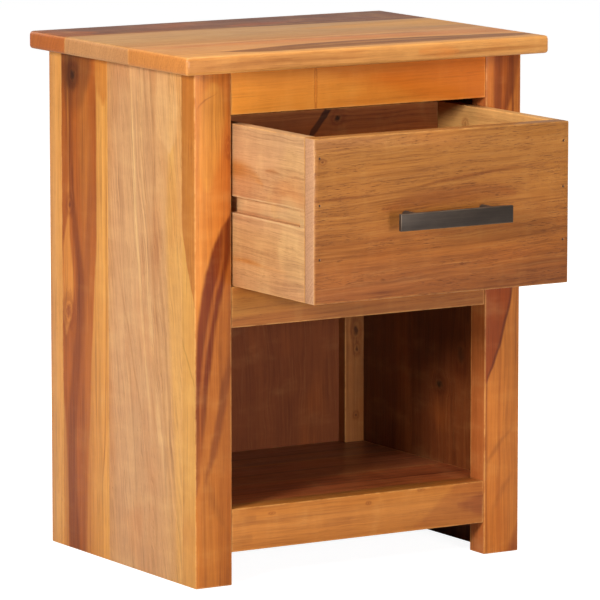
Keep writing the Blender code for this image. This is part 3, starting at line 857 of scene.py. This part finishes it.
def shelf_boards():
    tones = [(0.0, "BE6F49"), (0.3, "CA774D"), (0.6, "BA6B4B"), (1.0, "C5744B")]
    # The tints differ from board to board and also step darker toward the back: painted shade deep
    # in the lower compartment.
    tints_with_painted_shade = {"front": (1.05, 1.0, 1.0), "middle": (0.85, 0.92, 1.1), "back": (0.66, 0.84, 1.2)}
    for index, (end, tint) in enumerate(tints_with_painted_shade.items()):
        plain_board(
            f"shelf_board_{end}", "x", "y", tones, "8A5534", 51 + index, tint=tint,
            wave=5.0, figure=0.9, mottle=0.7, pores=0.4,
            streaks=[
                streak("74391C", [(0, 38, 1.5, 0.4), (150, 39, 2.5, 0.7), (322, 37, 2, 0.5)],
                       2.0, "z"),
            ],
        )


def right_side():
    # These dark tones are partly the wood's own and partly painted shade of the lower compartment
    # on the inner faces. The outer faces (+x) get a lighter tone of their own.
    tones = [(0.0, "7A4327"), (0.3, "7E4628"), (0.7, "713D24"), (1.0, "6A3A24")]
    plain_board(
        "side_board_right_front", "z", "y", tones, "A87044", 61,
        wave=6.0, figure=0.7, mottle=0.5, wear=0.0,
        outside=("+x", "DDAE7E"),
        streaks=[
            streak("D9A06A", [(0, 20, 26, 0.6), (160, 26, 24, 0.8), (320, 18, 30, 0.5),
                              (482, 24, 26, 0.7)], 9.0, "+x"),
            streak("B87745", [(0, 104, 9, 0.7), (120, 98, 12, 0.9), (260, 108, 8, 0.8),
                              (400, 116, 5, 0.6), (482, 118, 4, 0.4)], 5.0, "+x"),
            streak("9C5A30", [(40, 100, 1.5, 0.5), (140, 95, 3, 0.8), (280, 107, 2, 0.7),
                              (420, 115, 1, 0.4)], 2.0, "+x"),
            streak("C48A5A", [(90, 52, 1, 0.4), (200, 60, 2, 0.7), (330, 54, 2, 0.6),
                              (460, 48, 1, 0.4)], 2.0, "+x"),
        ],
        knots=[knot(148, 89, 5, 7, "1C160E"), knot(182, 51, 12, 8, "4A2A1A")],
    )
    plain_board(
        "side_board_right_back", "z", "y", tones, "A87044", 62,
        wave=6.0, figure=0.7, mottle=0.5, wear=0.0,
        outside=("+x", "D9A06A"),
        streaks=[
            streak("B06B38", [(0, 20, 16, 0.8), (150, 26, 20, 0.9), (300, 22, 16, 0.9),
                              (482, 30, 22, 0.9)], 6.0, "+x"),
            streak("8A4A26", [(0, 18, 4, 0.7), (170, 24, 6, 0.9), (320, 20, 4, 0.8),
                              (482, 30, 7, 0.9)], 3.0, "+x"),
            streak("E6BE90", [(60, 72, 4, 0.4), (240, 68, 6, 0.7), (420, 74, 4, 0.4)], 5.0, "+x"),
        ],
    )
    plain_board(
        "post_back_right", "z", "x", [(0.0, "B0754A"), (0.5, "B57A50"), (1.0, "AA7046")],
        "A87044", 63, wave=2.0, figure=0.5, mottle=0.5,
        knots=[
            knot(184, 13, 7, 3.5, "4A2818", "y"),
            knot(165, 14, 4, 2.5, "5A3220", "y"),
            knot(98, 13, 2.5, 2, "6A3C24", "y"),
        ],
    )


def hidden_boards():
    for index, node in enumerate(("rail_back_top", "rail_back_bottom")):
        plain_board(node, "x", "z", REAR_TONES, "A87044", 71 + index, wave=3.0, figure=0.7)
    for index, side in enumerate(("left", "right")):
        plain_board(f"shelf_cleat_{side}", "y", "z", INNER_TONES, "8A5534", 81 + index, coat=0.1)
        plain_board(f"drawer_runner_{side}", "y", "z", INNER_TONES, "8A5534", 83 + index, coat=0.1)
        for place, end in enumerate(("front", "back")):
            plain_board(
                f"corner_block_{end}_{side}", "y", "x", INNER_TONES, "8A5534",
                85 + index + 2 * place, coat=0.1,
            )
    panel = [(0.0, "864727"), (0.3, "904E2B"), (0.6, "884928"), (1.0, "8C4E2C")]
    plain_board(
        "back_panel", "z", "x", panel, "8C5A38", 91,
        wave=8.0, figure=0.35, mottle=0.5, pores=0.3, rough=0.5, coat=0.1,
        outside=("+y", "CE9A6C"),
        streaks=[
            streak("B97F50", [(0, 60, 30, 0.5), (200, 74, 40, 0.7), (400, 66, 26, 0.5)],
                   14.0, "+y"),
            streak("BC8454", [(0, 176, 24, 0.4), (200, 188, 34, 0.7), (400, 196, 24, 0.5)], 14.0,
                   "+y"),
        ],
    )
    plain_board(
        "drawer_bottom", "x", "y", panel, "8C5A38", 92,
        wave=8.0, figure=0.35, mottle=0.4, pores=0.3, rough=0.5, coat=0.1,
    )


# ---------------------------------------------------------------- metal

BRONZE_SEED = 101.0
ZINC_SEED = 111.0
PIN_SEED = 121.0
HANDLE_EDGE = 1.0 * MM


def bronze(node):
    """Dark satin metal, brushed along X, with rubbed edges."""
    material, tree, shader = new_material(node)
    board = Board(tree, node, "x", BRONZE_SEED)
    brushed = board.layer("brushed")
    cloud = board.layer("cloud")
    spots = board.layer("spots")
    colour = mix(tree, cloud.rise(0.32, 0.68), srgb("3B322C"), srgb("463B33"))
    colour = mix(tree, brushed.rise(0.35, 0.70) * 0.3, colour, srgb("54483E"))
    colour = mix(tree, spots.rise(0.66, 0.76) * 0.4, colour, srgb("2A2420"))
    rubbed = board.edge(HANDLE_EDGE) * cloud.rise(0.30, 0.60)
    colour = mix(tree, rubbed * 0.5, colour, srgb("85725F"))
    plug(tree, colour, shader.inputs["Base Color"])
    plug(tree, brushed * 0.22 + cloud * 0.12 + 0.30, shader.inputs["Roughness"])
    shader.inputs["Metallic"].default_value = 0.5
    shader.inputs["Specular IOR Level"].default_value = 0.3
    bump(tree, shader, brushed * 0.6 + spots * 0.4, 0.25, 0.0002)
    dress(node, material)


def zinc(node):
    """Plated steel with turning marks and a dull film."""
    material, tree, shader = new_material(node)
    board = Board(tree, node, "y", ZINC_SEED)
    film = board.layer("film")
    grit = board.layer("grit")
    colour = mix(tree, film.rise(0.35, 0.65), srgb("8E8A80"), srgb("B5AF9F"))
    colour = mix(tree, grit.rise(0.60, 0.75) * 0.5, colour, srgb("5C5448"))
    plug(tree, colour, shader.inputs["Base Color"])
    plug(tree, film * 0.25 + grit * 0.1 + 0.25, shader.inputs["Roughness"])
    shader.inputs["Metallic"].default_value = 0.9
    bump(tree, shader, grit, 0.2, 0.0001)
    dress(node, material)


def dark_pin(node):
    """The end of a pin under a little filler, darker than the wood."""
    material, tree, shader = new_material(node)
    board = Board(tree, node, "y", PIN_SEED)
    crust = board.layer("crust")
    colour = mix(tree, crust.rise(0.35, 0.65), srgb("3A2114"), srgb("6B4126"))
    plug(tree, colour, shader.inputs["Base Color"])
    plug(tree, crust * 0.3 + 0.45, shader.inputs["Roughness"])
    bump(tree, shader, crust, 0.4, 0.0002)
    dress(node, material)


def metal_parts():
    for name in ("handle_bar", "handle_leg_left", "handle_leg_right"):
        bronze(name)
    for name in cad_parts:
        if "_screw_" in name:
            zinc(name)
        if "_pin_" in name:
            dark_pin(name)


# ---------------------------------------------------------------- smooth edges


WELD_REACH = 0.000002
SHARPEST = math.radians(40)


def rounding_group():
    """Geometry nodes that shade faces smooth, apart from edges sharper than SHARPEST."""
    group = bpy.data.node_groups.new("smooth_rounding", "GeometryNodeTree")
    group.interface.new_socket("Geometry", in_out="INPUT", socket_type="NodeSocketGeometry")
    group.interface.new_socket("Geometry", in_out="OUTPUT", socket_type="NodeSocketGeometry")
    source = group.nodes.new("NodeGroupInput")
    target = group.nodes.new("NodeGroupOutput")
    angle = group.nodes.new("GeometryNodeInputMeshEdgeAngle")
    compare = group.nodes.new("FunctionNodeCompare")
    compare.operation = "LESS_THAN"
    compare.inputs["B"].default_value = SHARPEST
    edges = group.nodes.new("GeometryNodeSetShadeSmooth")
    edges.domain = "EDGE"
    faces = group.nodes.new("GeometryNodeSetShadeSmooth")
    group.links.new(angle.outputs["Unsigned Angle"], compare.inputs["A"])
    group.links.new(compare.outputs["Result"], edges.inputs["Shade Smooth"])
    group.links.new(source.outputs[0], edges.inputs["Geometry"])
    group.links.new(edges.outputs[0], faces.inputs["Geometry"])
    group.links.new(faces.outputs[0], target.inputs[0])
    return group


def smooth_edges():
    group = rounding_group()
    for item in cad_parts.values():
        weld = item.modifiers.new("join_faces", "WELD")
        weld.merge_threshold = WELD_REACH
        smooth = item.modifiers.new("smooth_rounding", "NODES")
        smooth.node_group = group


# ---------------------------------------------------------------- stage, light and camera


# Light that reaches the camera straight from the paper floor and the backdrop
PAPER_GLOW = 0.93
ROOM_LIGHT = 0.09
FLOOR_SIZE = 14.0
FLOOR_DROP = 0.0006
AIM = Vector((0.0, 0.04, 0.25))

# Name, azimuth, elevation, distance, size and power. Azimuth 0 stands in front of the cabinet,
# -90 on its left
LIGHTS = (
    ("key", -63, 18, 2.6, 0.5, 58),
    ("front", -4, 6, 3.2, 0.7, 47),
    ("over", -20, 78, 2.6, 1.4, 58),
    ("back", 150, 14, 3.0, 1.4, 1.6),
    ("right", 98, 8, 3.0, 1.4, 34),
    ("rear", 180, 14, 3.0, 0.8, 16),
)


def add_floor():
    bpy.ops.mesh.primitive_plane_add(size=FLOOR_SIZE, location=(0.0, 0.0, -FLOOR_DROP))
    floor = bpy.context.object
    floor.name = "floor"
    material, tree, shader = new_material("floor_paper")
    coordinates = tree.nodes.new("ShaderNodeTexCoord")
    cloud = noise(tree, coordinates.outputs["Object"], (0.8, 0.8, 0.8), 3.0)
    colour = mix(tree, cloud, (0.50, 0.50, 0.50, 1.0), (0.54, 0.54, 0.54, 1.0))
    plug(tree, colour, shader.inputs["Base Color"])
    shader.inputs["Roughness"].default_value = 0.9
    shader.inputs["Specular IOR Level"].default_value = 0.1
    shader.inputs["Emission Color"].default_value = (1.0, 1.0, 1.0, 1.0)
    path = tree.nodes.new("ShaderNodeLightPath")
    seen = Field(tree, path.outputs["Is Camera Ray"])
    plug(tree, seen * PAPER_GLOW, shader.inputs["Emission Strength"])
    floor.data.materials.append(material)


def add_light(name, azimuth, elevation, distance, size, power):
    """A square soft light that looks at the middle of the cabinet."""
    turn, rise = math.radians(azimuth), math.radians(elevation)
    away = Vector(
        (math.sin(turn) * math.cos(rise), -math.cos(turn) * math.cos(rise), math.sin(rise))
    )
    lamp = bpy.data.lights.new(name, "AREA")
    lamp.shape = "SQUARE"
    lamp.size = size
    lamp.energy = power
    item = bpy.data.objects.new(name, lamp)
    item.location = AIM + away * distance
    item.rotation_mode = "QUATERNION"
    item.rotation_quaternion = away.to_track_quat("Z", "Y")
    bpy.context.scene.collection.objects.link(item)


def add_world():
    """Even white behind, and a dimmer even light on the object."""
    world = bpy.data.worlds.new("studio")
    bpy.context.scene.world = world
    world.use_nodes = True
    tree = world.node_tree
    background = tree.nodes["Background"]
    background.inputs["Color"].default_value = (1.0, 1.0, 1.0, 1.0)
    path = tree.nodes.new("ShaderNodeLightPath")
    seen = Field(tree, path.outputs["Is Camera Ray"])
    plug(tree, seen * PAPER_GLOW + ROOM_LIGHT, background.inputs["Strength"])


def add_camera():
    data = bpy.data.cameras.new("camera")
    data.lens = CAMERA_LENS
    data.sensor_width = 36.0
    data.clip_start = 0.1
    data.clip_end = 60.0
    camera = bpy.data.objects.new("camera", data)
    camera.location = CAMERA_PLACE
    camera.rotation_euler = (math.pi / 2 + CAMERA_DIP, 0.0, CAMERA_TURN)
    bpy.context.scene.collection.objects.link(camera)
    bpy.context.scene.camera = camera


add_camera()
top_boards()
left_side()
front_posts()
front_rails()
drawer_boards()
shelf_boards()
right_side()
hidden_boards()
metal_parts()
smooth_edges()
add_floor()
add_world()
for light in LIGHTS:
    add_light(*light)
bpy.context.scene.view_settings.view_transform = "Standard"
